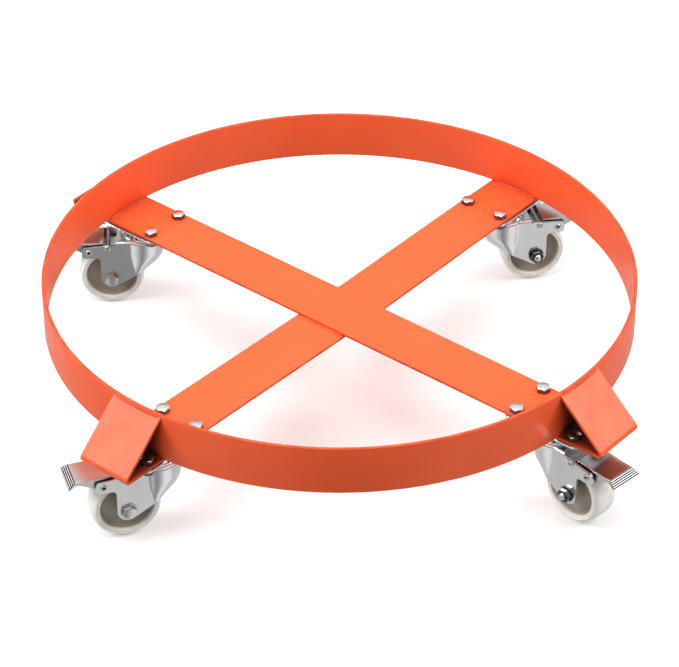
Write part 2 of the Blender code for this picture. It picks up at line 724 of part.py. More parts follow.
def build_casters():
    """Place the four casters. Copies share their meshes."""
    pivot_back = -PEDAL_PIVOT
    meshes = {
        "top_plate": plate_mesh(),
        "kingpin": kingpin_mesh(),
        "swivel_race": race_mesh(),
        "mounting_bolt": mounting_bolt_mesh(),
        "fork": fork_mesh(),
        "tread": tread_mesh(),
        "wheel_core": core_mesh(),
        "axle_bolt": axle_bolt_mesh(),
        "axle_nut": axle_nut_mesh(),
        "brake_pedal": shifted(pedal_mesh(), pivot_back),
        "brake_pin": brake_pin_mesh(),
    }
    for corner, (bar_angle, trail_angle) in STATIONS.items():
        direction = math.radians(bar_angle)
        centre = (STATION_RADIUS * math.cos(direction), STATION_RADIUS * math.sin(direction), 0.0)
        station = add_empty(corner + "_station", centre, bar_angle)
        swivel = add_empty(corner + "_swivel_axis", centre, trail_angle)
        axle = add_empty(corner + "_axle_axis", (TRAIL, 0.0, WHEEL_RADIUS), parent=swivel)
        pedal = add_empty(corner + "_pedal_axis", PEDAL_PIVOT, parent=swivel)

        add_part(corner + "_top_plate", meshes["top_plate"], "plate_zinc", station)
        add_part(corner + "_kingpin", meshes["kingpin"], "kingpin_steel", station)
        add_part(corner + "_swivel_race", meshes["swivel_race"], "race_steel", station)
        for number, (along, across) in enumerate(bolt_stations(), 1):
            bolt = add_part(
                f"{corner}_mounting_bolt_{number}", meshes["mounting_bolt"], "bolt_zinc", station)
            bolt.location = (along, across, 0.0)

        add_part(corner + "_fork", meshes["fork"], "fork_chrome", swivel)
        add_part(corner + "_axle_bolt", meshes["axle_bolt"], "axle_steel", axle)
        add_part(corner + "_axle_nut", meshes["axle_nut"], "nut_steel", axle)
        add_part(corner + "_wheel_core", meshes["wheel_core"], "core_polymer", axle)
        add_part(corner + "_tread", meshes["tread"], "tread_polyurethane", axle)
        add_part(corner + "_brake_pedal", meshes["brake_pedal"], "pedal_zinc", pedal)
        add_part(corner + "_brake_pin", meshes["brake_pin"], "pin_steel", pedal)


clear_scene()
PARTS = new_collection("drum_dolly")
CUTTERS = new_collection("cutters")
build_ring()
build_bar("upper_cross_bar", "upper_bar_paint", 135.0, 0.0)
build_bar("lower_cross_bar", "lower_bar_paint", 45.0, CROSSING_DROP)
build_casters()
bpy.context.view_layer.update()
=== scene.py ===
"""Drum dolly: the visual model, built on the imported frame.

Frame: +Z up, metres, origin on the floor under the centre of the ring. Each caster's pieces are
drawn once about its own swivel axis, with the floor at z = 0 and the wheel trailing towards +X.
"""
import json
import math

import bmesh
import bpy
from mathutils import Matrix, Vector


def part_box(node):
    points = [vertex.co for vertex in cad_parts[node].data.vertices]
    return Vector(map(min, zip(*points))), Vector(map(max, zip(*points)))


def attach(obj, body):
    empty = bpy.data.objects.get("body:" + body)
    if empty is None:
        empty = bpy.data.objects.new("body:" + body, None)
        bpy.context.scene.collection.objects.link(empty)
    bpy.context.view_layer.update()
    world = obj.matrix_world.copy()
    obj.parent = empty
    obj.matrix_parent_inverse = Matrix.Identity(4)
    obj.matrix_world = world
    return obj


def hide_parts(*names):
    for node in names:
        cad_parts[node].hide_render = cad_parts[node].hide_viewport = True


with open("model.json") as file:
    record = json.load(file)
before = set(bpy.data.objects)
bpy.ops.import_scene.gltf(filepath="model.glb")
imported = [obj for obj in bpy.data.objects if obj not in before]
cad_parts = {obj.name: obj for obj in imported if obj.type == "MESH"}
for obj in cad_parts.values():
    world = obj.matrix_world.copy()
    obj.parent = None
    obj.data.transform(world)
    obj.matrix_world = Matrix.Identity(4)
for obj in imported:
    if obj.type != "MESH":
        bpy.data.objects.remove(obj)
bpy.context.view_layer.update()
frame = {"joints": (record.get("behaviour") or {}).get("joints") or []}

MM = 0.001
MERGE = 0.005 * MM
SMOOTH_ANGLE = math.radians(35.0)
EASE_ANGLE = math.radians(40.0)
SIDEWAYS = Matrix.Rotation(math.pi / 2, 4, "X")

# Ring and bars
ring_low, ring_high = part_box("drum_ring")
RING_RADIUS = ring_high.x
RING_WALL = 3.5 * MM
RING_BOTTOM = ring_low.z
RING_TOP = ring_high.z
RING_HEIGHT = RING_TOP - RING_BOTTOM
RING_STEPS = 288
BAR_WIDTH = 62.0 * MM
BAR_THICKNESS = 3.2 * MM
BAR_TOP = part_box("upper_cross_bar")[0].z + BAR_THICKNESS
BAR_BOTTOM = BAR_TOP - BAR_THICKNESS
CROSSING_DROP = BAR_THICKNESS + 0.3 * MM
CROSSING_HALF = BAR_WIDTH / 2 + 3.0 * MM
DIP_END = 235.0 * MM
FOLD_INNER = 2.0 * MM
FOLD_OUTER = FOLD_INNER + BAR_THICKNESS
FOLD_TIP = 359.0 * MM
FLAP_TOP = RING_BOTTOM + 49.5 * MM
FLAP_OVERRUN = 12.0 * MM
UPPER_BAR_ANGLE = 135.0
LOWER_BAR_ANGLE = 45.0
WELD_STEP = 1.1 * MM
WELD_RADIUS = 1.3 * MM
THIN_WELD_RADIUS = 1.2 * MM

# Mounting plate and bolts
PLATE_TOP = BAR_BOTTOM - 0.3 * MM
PLATE_THICKNESS = 2.5 * MM
PLATE_BOTTOM = PLATE_TOP - PLATE_THICKNESS
PLATE_LENGTH = 92.0 * MM
PLATE_WIDTH = 64.0 * MM
BOLT_SPACING_LONG = 70.5 * MM
BOLT_SPACING_WIDE = 44.45 * MM
HEX_FLATS = 13.0 * MM
BOLT_RADIUS = 4.0 * MM
THREAD_PITCH = 1.25 * MM

# Swivel head and fork
RACE_BOTTOM = 88.4 * MM
BALL_CIRCLE = 21.6 * MM
BALL_HEIGHT = 88.6 * MM
BALL_RADIUS = 2.35 * MM
BALL_COUNT = 26
BALL_CLEARANCE = 0.15 * MM
CROWN_CIRCLE = 19.6 * MM
CROWN_RADIUS = 4.3 * MM
CROWN_OUTER = 23.9 * MM
CROWN_INNER = 15.3 * MM
KINGPIN_BORE = 6.3 * MM
AXLE_BORE = 4.4 * MM
PIN_BORE = 2.8 * MM
FORK_SHEET = 2.5 * MM
FORK_HALF = 20.3 * MM
DECK_TOP = 83.0 * MM
DECK_RADIUS = 24.5 * MM
DECK_REAR = 28.0 * MM
FRONT_CENTRE = 8.5 * MM
FRONT_TIP = -11.8 * MM
BEND_RADIUS = 7.0 * MM
BEND_TURN = 40.0
FLARE_LOW = 38.0 * MM
FLARE_HIGH = 65.0 * MM
FORK_REAR = 68.0 * MM
LOBE_RADIUS = 11.5 * MM
LEADING_EDGE = 148.9
NOTCH_TOP = 63.0 * MM
NOTCH_RADIUS = 4.5 * MM
ARM_TOP_FRONT = 79.3 * MM
ARM_TOP_REAR = 76.2 * MM
ARM_CORNER = 4.0 * MM
TIE = Vector((38.0, 0.0, 75.2)) * MM
TRAIL = 35.0 * MM
WHEEL_RADIUS = 36.0 * MM
PIVOT = Vector((59.0, 0.0, 70.2)) * MM

# Pedal
PEDAL_SHEET = 1.8 * MM
PEDAL_HALF = 16.2 * MM
PEDAL_LIP_HALF = 19.3 * MM
PEDAL_TOP = 79.9 * MM
PEDAL_FRONT = 42.5 * MM
LIP_START = Vector((86.0, PEDAL_TOP / MM)) * MM
LIP_END = Vector((94.2, 74.4)) * MM
LIP_RIBS = 4
RIB_HEIGHT = 1.5 * MM
RIB_HALF_SHARE = 0.3
SHOE_FRONT = 62.4 * MM
SHOE_REAR = 64.4 * MM
SHOE_BOTTOM = 63.4 * MM
SHOE_TOP = 79.0 * MM

CORNERS = ("front_left", "front_right", "rear_left", "rear_right")
scratch = bpy.data.collections.new("scratch")
bpy.context.scene.collection.children.link(scratch)


# --- Mesh helpers ------------------------------------------------------------------------

def arc(centre, radius, start, end, steps):
    """Points on an arc, in degrees, both ends included."""
    points = []
    for i in range(steps + 1):
        angle = math.radians(start + (end - start) * i / steps)
        points.append((centre[0] + radius * math.cos(angle), centre[1] + radius * math.sin(angle)))
    return points


def rounded(points, radius, steps=4, closed=True):
    """The polyline with each corner eased over about the radius."""
    points = [Vector(p) for p in points]
    count = len(points)
    result = []
    for i, corner in enumerate(points):
        if not closed and i in (0, count - 1):
            result.append(tuple(corner))
            continue
        before = points[i - 1] - corner
        after = points[(i + 1) % count] - corner
        reach = min(radius, before.length * 0.45, after.length * 0.45)
        start = corner + before.normalized() * reach
        end = corner + after.normalized() * reach
        for step in range(steps + 1):
            t = step / steps
            point = start * (1 - t) ** 2 + corner * 2 * t * (1 - t) + end * t ** 2
            result.append(tuple(point))
    return result


def in_mm(points):
    """Pairs written in millimetres, as metres."""
    return [(x * MM, y * MM) for x, y in points]


def finish_mesh(mesh):
    """Smooth shading that breaks where two faces meet sharply."""
    mesh.shade_smooth()
    mesh.set_sharp_from_angle(angle=SMOOTH_ANGLE)
    return mesh


def mesh_from(bm, name):
    """The bmesh as a mesh, with doubled vertices merged and normals outwards. The bmesh is freed."""
    bmesh.ops.remove_doubles(bm, verts=bm.verts, dist=MERGE)
    bmesh.ops.recalc_face_normals(bm, faces=bm.faces)
    mesh = bpy.data.meshes.new(name)
    bm.to_mesh(mesh)
    bm.free()
    return finish_mesh(mesh)


def lathe(name, profile, steps, closed=True):
    """A profile of (radius, height) points spun round Z."""
    bm = bmesh.new()
    verts = [bm.verts.new((radius, 0.0, height)) for radius, height in profile]
    edges = [bm.edges.new(pair) for pair in zip(verts, verts[1:])]
    if closed:
        edges.append(bm.edges.new((verts[-1], verts[0])))
    bmesh.ops.spin(
        bm, geom=verts + edges, cent=(0, 0, 0), axis=(0, 0, 1), angle=math.tau, steps=steps, use_merge=True)
    return mesh_from(bm, name)


def scratch_object(name, data):
    obj = bpy.data.objects.new(name, data)
    scratch.objects.link(obj)
    return obj


def applied(obj):
    """The mesh that the scratch object's modifiers give. The object and its tools are removed."""
    bpy.context.view_layer.update()
    graph = bpy.context.evaluated_depsgraph_get()
    mesh = bpy.data.meshes.new_from_object(obj.evaluated_get(graph))
    mesh.name = obj.name
    tools = [m.object for m in obj.modifiers if m.type == "BOOLEAN"]
    for item in [obj] + tools:
        bpy.data.objects.remove(item, do_unlink=True)
    return mesh


def prism(name, loop, thickness, edge=0.0):
    """A flat outline given a thickness, with its rims eased by the edge radius."""
    curve = bpy.data.curves.new(name, "CURVE")
    curve.dimensions = "2D"
    curve.fill_mode = "BOTH"
    curve.extrude = thickness / 2 - edge
    curve.bevel_depth = edge
    curve.bevel_resolution = 2
    curve.offset = -edge
    spline = curve.splines.new("POLY")
    spline.points.add(len(loop) - 1)
    for point, (x, y) in zip(spline.points, loop):
        point.co = (x, y, 0.0, 1.0)
    spline.use_cyclic_u = True
    mesh = applied(scratch_object(name, curve))
    bm = bmesh.new()
    bm.from_mesh(mesh)
    return mesh_from(bm, name)


def side_prism(name, loop, width, edge=0.0):
    """An outline drawn in X and Z, given an even width along Y."""
    mesh = prism(name, loop, width, edge)
    mesh.transform(SIDEWAYS)
    return mesh


def combine(obj, mesh, operation, matrix=None):
    """Adds a Boolean of another mesh to a scratch object."""
    tool = scratch_object("tool", mesh)
    if matrix:
        tool.matrix_world = matrix
    modifier = obj.modifiers.new("boolean", "BOOLEAN")
    modifier.object = tool
    modifier.operation = operation
    modifier.solver = "EXACT"


def flat_shaded(obj):
    """The scratch object's mesh, with normals weighted so that flat faces shade flat."""
    mesh = finish_mesh(applied(obj))
    plain = scratch_object(mesh.name, mesh)
    plain.modifiers.new("normals", "WEIGHTED_NORMAL").keep_sharp = True
    return applied(plain)


def eased(mesh, width):
    """The mesh with its sharp edges rounded and its flat faces shaded flat."""
    bm = bmesh.new()
    bm.from_mesh(mesh)
    bmesh.ops.dissolve_limit(bm, angle_limit=math.radians(0.5), verts=bm.verts, edges=bm.edges)
    clean = mesh_from(bm, mesh.name)
    obj = scratch_object(mesh.name, clean)
    bevel = obj.modifiers.new("bevel", "BEVEL")
    bevel.width = width
    bevel.segments = 3
    bevel.limit_method = "ANGLE"
    bevel.angle_limit = EASE_ANGLE
    obj.modifiers.new("normals", "WEIGHTED_NORMAL").keep_sharp = True
    return applied(obj)


def joined(name, parts):
    """Several meshes, each with its own matrix, as one mesh."""
    bm = bmesh.new()
    for mesh, matrix in parts:
        part = bmesh.new()
        part.from_mesh(mesh)
        bmesh.ops.transform(part, matrix=matrix, verts=part.verts)
        shifted = bpy.data.meshes.new("part")
        part.to_mesh(shifted)
        part.free()
        bm.from_mesh(shifted)
    mesh = bpy.data.meshes.new(name)
    bm.to_mesh(mesh)
    bm.free()
    return finish_mesh(mesh)


def hexagon_piece(name, height, chamfer_low, bore=0.0, dish=0.0):
    """A hex head or nut on Z from 0 to its height, coned off at the top and, if asked, below."""
    steps = 72
    inscribed = HEX_FLATS / 2
    crown = inscribed * 0.94
    slope = math.tan(math.radians(30.0))
    bm = bmesh.new()

    def corner_radius(angle):
        return inscribed / math.cos((angle % (math.pi / 3)) - math.pi / 6)

    rows = []
    for level in ("low_inner", "low_face", "low_side", "high_side", "high_face", "high_inner"):
        row = []
        for i in range(steps):
            angle = math.tau * i / steps
            full = corner_radius(angle)
            fall = (full - crown) * slope
            radius, z = {
                "low_inner": (bore, 0.0),
                "low_face": (crown if chamfer_low else full, 0.0),
                "low_side": (full, fall if chamfer_low else 0.0),
                "high_side": (full, height - fall),
                "high_face": (crown, height),
                "high_inner": (bore, height - dish),
            }[level]
            row.append(bm.verts.new((radius * math.cos(angle), radius * math.sin(angle), z)))
        rows.append(row)
    pairs = list(zip(rows, rows[1:]))
    if bore:
        pairs.append((rows[-1], rows[0]))
    for low, high in pairs:
        for i in range(steps):
            j = (i + 1) % steps
            bm.faces.new((low[i], low[j], high[j], high[i]))
    bmesh.ops.remove_doubles(bm, verts=bm.verts, dist=MERGE)
    return mesh_from(bm, name)


def threaded_rod(name, low, high, thread_low):
    """A bolt's shank: plain up to thread_low, then V threads to a chamfered end at high."""
    root = BOLT_RADIUS - 0.55 * MM
    profile = [(0.0, low), (BOLT_RADIUS - 0.1 * MM, low), (BOLT_RADIUS - 0.1 * MM, thread_low)]
    z = thread_low
    while z + THREAD_PITCH < high - 0.6 * MM:
        profile.append((root, z + THREAD_PITCH * 0.4))
        profile.append((BOLT_RADIUS, z + THREAD_PITCH * 0.9))
        z += THREAD_PITCH
    profile += [(root, high - 0.5 * MM), (root - 0.8 * MM, high), (0.0, high)]
    return lathe(name, profile, 32, closed=False)


# --- Materials ---------------------------------------------------------------------------

def new_material(name):
    material = bpy.data.materials.new(name)
    material.use_nodes = True
    nodes = material.node_tree.nodes
    nodes.clear()
    output = nodes.new("ShaderNodeOutputMaterial")
    shader = nodes.new("ShaderNodeBsdfPrincipled")
    material.node_tree.links.new(shader.outputs["BSDF"], output.inputs["Surface"])
    return material, shader


def maths(tree, operation, *values):
    """A math node; each value is an output or a number."""
    node = tree.nodes.new("ShaderNodeMath")
    node.operation = operation
    for socket, value in zip(node.inputs, values):
        if isinstance(value, float):
            socket.default_value = value
        else:
            tree.links.new(value, socket)
    return node.outputs["Value"]


def axes(tree, kind):
    """The X, Y and Z outputs of one kind of coordinate."""
    coordinates = tree.nodes.new("ShaderNodeTexCoord")
    split = tree.nodes.new("ShaderNodeSeparateXYZ")
    tree.links.new(coordinates.outputs[kind], split.inputs["Vector"])
    return split.outputs


def scaled(colour, factor):
    return tuple(min(1.0, channel * factor) for channel in colour)


def noise(tree, scale, detail=3.0, stretch=(1.0, 1.0, 1.0)):
    """Noise over the piece's own coordinates; stretch draws it out along an axis."""
    coordinates = tree.nodes.new("ShaderNodeTexCoord")
    mapping = tree.nodes.new("ShaderNodeMapping")
    mapping.inputs["Scale"].default_value = stretch
    texture = tree.nodes.new("ShaderNodeTexNoise")
    texture.inputs["Scale"].default_value = scale
    texture.inputs["Detail"].default_value = detail
    tree.links.new(coordinates.outputs["Object"], mapping.inputs["Vector"])
    tree.links.new(mapping.outputs["Vector"], texture.inputs["Vector"])
    return texture.outputs["Fac"]


def spread(tree, value, low, high, start=0.3, end=0.7):
    """Maps a value between start and end to low and high. The defaults suit a noise's middle."""
    node = tree.nodes.new("ShaderNodeMapRange")
    node.inputs["From Min"].default_value = start
    node.inputs["From Max"].default_value = end
    node.inputs["To Min"].default_value = low
    node.inputs["To Max"].default_value = high
    tree.links.new(value, node.inputs["Value"])
    return node.outputs["Result"]


def blended(tree, factor, first, second):
    """A colour mix; each side is an output or an RGB tuple."""
    node = tree.nodes.new("ShaderNodeMix")
    node.data_type = "RGBA"
    tree.links.new(factor, node.inputs["Factor"])
    for socket, value in ((node.inputs[6], first), (node.inputs[7], second)):
        if isinstance(value, tuple):
            socket.default_value = (*value, 1.0)
        else:
            tree.links.new(value, socket)
    return node.outputs[2]


def rim_mask(tree, axis, middle, half, width):
    """1 on the two rims of a flat piece, where |axis - middle| nears half, broken up by noise."""
    offset = maths(tree, "SUBTRACT", axes(tree, "Object")[axis], middle)
    rim = spread(tree, maths(tree, "ABSOLUTE", offset), 0.0, 1.0, half - width, half)
    patches = spread(tree, noise(tree, 55.0, 5.0), 0.35, 1.0, 0.4, 0.62)
    return maths(tree, "MULTIPLY", rim, patches)


def bump(tree, shader, heights):
    """Chains (height, distance) bumps into the shader's normal."""
    previous = None
    for height, distance in heights:
        node = tree.nodes.new("ShaderNodeBump")
        node.inputs["Strength"].default_value = 1.0
        node.inputs["Distance"].default_value = distance
        tree.links.new(height, node.inputs["Height"])
        if previous:
            tree.links.new(previous, node.inputs["Normal"])
        previous = node.outputs["Normal"]
    tree.links.new(previous, shader.inputs["Normal"])


def painted_recess_shade(tree, base, reach, closed, opened, dark):
    """Painted shade in recesses: the base colour darkens where surfaces within reach close it in."""
    recess = tree.nodes.new("ShaderNodeAmbientOcclusion")
    recess.samples = 8
    recess.inputs["Distance"].default_value = reach
    return blended(tree, spread(tree, recess.outputs["AO"], 0.0, 1.0, closed, opened), dark, base)


def powder_coat(name, colour, shift, rim):
    """Gloss powder coat: orange peel, faint cloudiness, a darker line along the rims, and painted shade in
    recesses.
    """
    material, shader = new_material(name)
    tree = material.node_tree
    cloud = spread(tree, noise(tree, 9.0 + shift, 2.0), 0.0, 1.0)
    base = blended(tree, cloud, scaled(colour, 0.93), scaled(colour, 1.05))
    base = blended(tree, rim_mask(tree, *rim), base, scaled(colour, 0.55))
    specks = spread(tree, noise(tree, 900.0, 1.0), 0.0, 0.35, 0.72, 0.78)
    base = blended(tree, specks, base, scaled(colour, 0.8))
    # Painted shade: the coat's colour darkens to a tenth in recesses, where surfaces within 60 mm close it
    # in.
    base = painted_recess_shade(tree, base, 60 * MM, 0.2, 0.62, scaled(colour, 0.1))
    tree.links.new(base, shader.inputs["Base Color"])
    tree.links.new(spread(tree, noise(tree, 45.0, 4.0), 0.3, 0.44), shader.inputs["Roughness"])
    shader.inputs["Specular IOR Level"].default_value = 0.24
    shader.inputs["Coat Weight"].default_value = 0.08
    shader.inputs["Coat Roughness"].default_value = 0.18
    bump(tree, shader, [(noise(tree, 520.0, 2.0), 0.00003), (noise(tree, 70.0, 2.0), 0.00004)])
    return material


def plated_steel(name, colour, rough_low, rough_high, grain, tarnish=0.0):
    """Bright plated steel: drawn grain, cloudy polish, duller film in patches, and painted shade in tight
    recesses.
    """
    material, shader = new_material(name)
    tree = material.node_tree
    cloud = spread(tree, noise(tree, 60.0, 3.0), 0.0, 1.0)
    base = blended(tree, cloud, scaled(colour, 0.94), colour)
    if tarnish:
        film = spread(tree, noise(tree, 140.0, 5.0), 0.0, tarnish, 0.5, 0.75)
        base = blended(tree, film, base, (0.42, 0.38, 0.33))
    scratches = spread(tree, noise(tree, 420.0, 2.0, (1.0, 12.0, 12.0)), 0.0, 0.5, 0.66, 0.74)
    base = blended(tree, scratches, base, scaled(colour, 0.72))
    # Painted shade: the plating's colour darkens in tight recesses, where surfaces within 7 mm close it in.
    base = painted_recess_shade(tree, base, 7 * MM, 0.3, 0.8, scaled(colour, 0.07))
    tree.links.new(base, shader.inputs["Base Color"])
    shader.inputs["Metallic"].default_value = 1.0
    drawn = noise(tree, 300.0, 3.0, grain)
    tree.links.new(spread(tree, drawn, rough_low, rough_high), shader.inputs["Roughness"])
    bump(tree, shader, [(drawn, 0.000012), (noise(tree, 90.0, 2.0), 0.00002)])
    return material


def painted_shade_on_flats(material, shade_colour):
    """Painted shade: darkens the upright flats of a fastener against its bright crown."""
    tree = material.node_tree
    shader = tree.nodes["Principled BSDF"]
    facing_up = maths(tree, "ABSOLUTE", axes(tree, "Normal")["Z"])
    flat = spread(tree, facing_up, 1.0, 0.0, 0.15, 0.6)
    base = shader.inputs["Base Color"].links[0].from_socket
    tree.links.new(blended(tree, flat, base, shade_colour), shader.inputs["Base Color"])


def painted_lip_shade_and_highlight(material):
    """Painted shade in dark lines between the ribs of the pedal's lip, and painted highlight on brighter
    crowns, which are also rougher.
    """
    tree = material.node_tree
    shader = tree.nodes["Principled BSDF"]
    coordinates = tree.nodes.new("ShaderNodeTexCoord")
    lip = (LIP_END - LIP_START).normalized()
    reach = []
    for direction in (lip, Vector((-lip.y, lip.x))):
        dot = tree.nodes.new("ShaderNodeVectorMath")
        dot.operation = "DOT_PRODUCT"
        dot.inputs[1].default_value = (direction.x, 0.0, direction.y)
        tree.links.new(coordinates.outputs["Object"], dot.inputs[0])
        reach.append((dot.outputs["Value"], LIP_START.dot(direction)))
    (along, start), (outward, level) = reach
    on_lip = spread(tree, along, 0.0, 1.0, start + 0.4 * MM, start + 0.8 * MM)
    low = spread(tree, outward, 1.0, 0.0, level + 0.2 * MM, level + 0.6 * MM)
    front = spread(tree, outward, 0.0, 1.0, level - 0.5 * MM, level - 0.2 * MM)
    groove = maths(tree, "MULTIPLY", maths(tree, "MULTIPLY", on_lip, low), front)
    high = spread(tree, outward, 0.0, 1.0, level + 0.9 * MM, level + 1.2 * MM)
    crown = maths(tree, "MULTIPLY", on_lip, high)
    base = shader.inputs["Base Color"].links[0].from_socket
    # Painted shade: near-black lines in the grooves between the ribs.
    base = blended(tree, groove, base, (0.015, 0.014, 0.013))
    # Painted highlight: near-white crowns on the ribs.
    tree.links.new(blended(tree, crown, base, (0.97, 0.96, 0.95)), shader.inputs["Base Color"])
    rough = shader.inputs["Roughness"].links[0].from_socket
    worn = maths(tree, "MAXIMUM", rough, spread(tree, crown, 0.0, 0.55, 0.0, 1.0))
    tree.links.new(worn, shader.inputs["Roughness"])


def moulded(name, colour, roughness, scale, dusty):
    """Moulded plastic or polyurethane: fine matt grain, cloudy tone and dust in patches."""
    material, shader = new_material(name)
    tree = material.node_tree
    cloud = spread(tree, noise(tree, 38.0, 4.0), 0.0, 1.0)
    base = blended(tree, cloud, scaled(colour, 0.9), scaled(colour, 1.06))
    dust = spread(tree, noise(tree, 210.0, 5.0), 0.0, 0.4, 0.52, 0.74)
    base = blended(tree, dust, base, dusty)
    tree.links.new(base, shader.inputs["Base Color"])
    tree.links.new(
        spread(tree, noise(tree, 120.0, 3.0), roughness - 0.07, roughness + 0.08), shader.inputs["Roughness"])
    bump(tree, shader, [(noise(tree, scale, 2.0), 0.00004), (noise(tree, 60.0, 2.0), 0.00006)])
    return material


ORANGE = (0.9, 0.112, 0.029)
RING_RIM = ("Z", (RING_TOP + RING_BOTTOM) / 2, RING_HEIGHT / 2, 0.9 * MM)
BAR_RIM = ("Y", 0.0, BAR_WIDTH / 2, 0.8 * MM)
MATERIALS = {
    "ring_paint": powder_coat("ring_paint_coat", ORANGE, 0.0, RING_RIM),
    "upper_bar_paint": powder_coat("upper_bar_coat", ORANGE, 1.3, BAR_RIM),
    "lower_bar_paint": powder_coat("lower_bar_coat", ORANGE, 2.1, BAR_RIM),
    "plate_zinc": plated_steel("plate_zinc_plating", (0.78, 0.78, 0.79), 0.16, 0.3, (1.0, 6.0, 1.0)),
    "kingpin_steel": plated_steel("kingpin_turned", (0.5, 0.49, 0.48), 0.3, 0.42, (1.0, 1.0, 9.0), 0.4),
    "race_steel": plated_steel("race_pressed", (0.62, 0.62, 0.63), 0.16, 0.3, (1.0, 1.0, 8.0), 0.25),
    "fork_chrome": plated_steel("fork_nickel", (0.86, 0.85, 0.86), 0.1, 0.2, (5.0, 1.0, 1.0)),
    "core_polymer": moulded("core_moulding", (0.4, 0.35, 0.295), 0.5, 700.0, (0.42, 0.38, 0.33)),
    "tread_polyurethane": moulded("tread_moulding", (0.95, 0.92, 0.86), 0.38, 800.0, (0.6, 0.55, 0.47)),
    "axle_steel": plated_steel("axle_zinc", (0.7, 0.69, 0.68), 0.14, 0.28, (1.0, 6.0, 1.0), 0.2),
    "nut_steel": plated_steel("nut_zinc", (0.27, 0.27, 0.275), 0.14, 0.3, (1.0, 6.0, 1.0), 0.2),
    "pedal_zinc": plated_steel("pedal_plating", (0.72, 0.71, 0.7), 0.14, 0.26, (1.0, 7.0, 1.0), 0.1),
    "pin_steel": plated_steel("pin_rivet", (0.66, 0.65, 0.65), 0.18, 0.3, (1.0, 6.0, 1.0), 0.2),
    "bolt_zinc": plated_steel("bolt_zinc_plating", (0.9, 0.89, 0.88), 0.14, 0.28, (4.0, 4.0, 1.0), 0.08),
}
# Painted shade between the pedal lip's ribs and painted highlight on their crowns.
painted_lip_shade_and_highlight(MATERIALS["pedal_zinc"])
# Painted shade on the upright flats of the bolt heads and the axle nuts.
painted_shade_on_flats(MATERIALS["bolt_zinc"], (0.17, 0.165, 0.16))
painted_shade_on_flats(MATERIALS["nut_steel"], (0.05, 0.05, 0.05))


def add_piece(name, mesh, slot, body, nodes=(), matrix=None):
    """A visible piece in the row frame. It rides on a body and stands for the CAD nodes given."""
    if not mesh.materials:
        mesh.materials.append(MATERIALS[slot])
    elif mesh.materials[0] is None:
        mesh.materials[0] = MATERIALS[slot]
    obj = bpy.data.objects.new(name, mesh)
    bpy.context.scene.collection.objects.link(obj)
    obj.matrix_world = matrix or Matrix.Identity(4)
    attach(obj, body)
    if nodes:
        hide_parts(*nodes)


# --- Frame -------------------------------------------------------------------------------

def build_ring():
    """The flat band, standing on edge, with its rims rounded."""
    inner = RING_RADIUS - RING_WALL
    corners = [(RING_RADIUS, RING_TOP), (RING_RADIUS, RING_BOTTOM), (inner, RING_BOTTOM), (inner, RING_TOP)]
    add_piece("ring_band", lathe("ring_band", rounded(corners, 0.9 * MM), RING_STEPS),
              "ring_paint", "frame", ["drum_ring"])


def bar_outline(drop):
    """Side outline of a bar in (distance from the centre, height), with its dip and folded ends."""
    fold = (FOLD_TIP - FOLD_OUTER, BAR_BOTTOM + FOLD_OUTER)
    rise = FLAP_TOP - fold[1]
    run = RING_RADIUS - fold[0]
    reach = math.hypot(rise, run)
    lean = math.atan2(rise, run) - math.acos(FOLD_OUTER / reach)
    length = math.sqrt(reach ** 2 - FOLD_OUTER ** 2) + FLAP_OVERRUN
    along = (-math.sin(lean) * length, math.cos(lean) * length)
    sides = []
    for radius, level in ((FOLD_OUTER, BAR_BOTTOM), (FOLD_INNER, BAR_TOP)):
        side = []
        if drop:
            side = rounded([(0.0, level - drop), (CROSSING_HALF, level - drop), (DIP_END, level),
                            (fold[0], level)], 30 * MM, 5, closed=False)[:-1]
        side += arc(fold, radius, -90.0, math.degrees(lean), 18)
        side.append((side[-1][0] + along[0], side[-1][1] + along[1]))
        sides.append(side if not drop else side[1:])
    right = sides[0] + sides[1][::-1]
    return right + [(-x, z) for x, z in reversed(right)]


def build_bar(name, node, slot, angle, drop):
    """A flat bar with its folded-back brackets, trimmed where the flaps lean on the ring."""
    mesh = side_prism(name, bar_outline(drop), BAR_WIDTH, 0.55 * MM)
    obj = scratch_object(name, mesh)
    hub = lathe("hub", [(0.0, RING_TOP + 20 * MM), (RING_RADIUS - 0.6 * MM, RING_TOP + 20 * MM),
                        (RING_RADIUS - 0.6 * MM, RING_BOTTOM + 2 * MM), (0.0, RING_BOTTOM + 2 * MM)],
                RING_STEPS, closed=False)
    combine(obj, hub, "DIFFERENCE")
    add_piece(name, flat_shaded(obj), slot, "frame", [node], Matrix.Rotation(math.radians(angle), 4, "Z"))


def bead(name, points, radius, slot, matrix=None):
    """A small fillet weld along a path, rippled as it was laid."""
    steps = 10
    bm = bmesh.new()
    rows = []
    path = [Vector(p) for p in points]
    for i, point in enumerate(path):
        ahead = path[min(i + 1, len(path) - 1)] - path[max(i - 1, 0)]
        side = ahead.cross(Vector((0, 0, 1)))
        side = side.normalized() if side.length > 1e-9 else Vector((1, 0, 0))
        up = side.cross(ahead).normalized()
        swell = radius * (1.0 + 0.13 * math.sin(i * 1.9) + 0.06 * math.sin(i * 0.7 + 1.0))
        if i in (0, len(path) - 1):
            swell *= 0.35
        rows.append([bm.verts.new(point + (side * math.cos(math.tau * k / steps)
                                           + up * math.sin(math.tau * k / steps)) * swell)
                     for k in range(steps)])
    for low, high in zip(rows, rows[1:]):
        for k in range(steps):
            j = (k + 1) % steps
            bm.faces.new((low[k], low[j], high[j], high[k]))
    bm.faces.new(rows[0])
    bm.faces.new(rows[-1])
    add_piece(name, mesh_from(bm, name), slot, "frame", matrix=matrix)


def ring_arc(radius, height, angle, half_width):
    """Points round the ring at a radius and height, across a bar that lies at the angle."""
    half = math.asin(half_width / radius)
    count = int(2 * half * radius / WELD_STEP)
    return [(radius * math.cos(angle + t), radius * math.sin(angle + t), height)
            for t in (half * (2 * i / count - 1) for i in range(count + 1))]


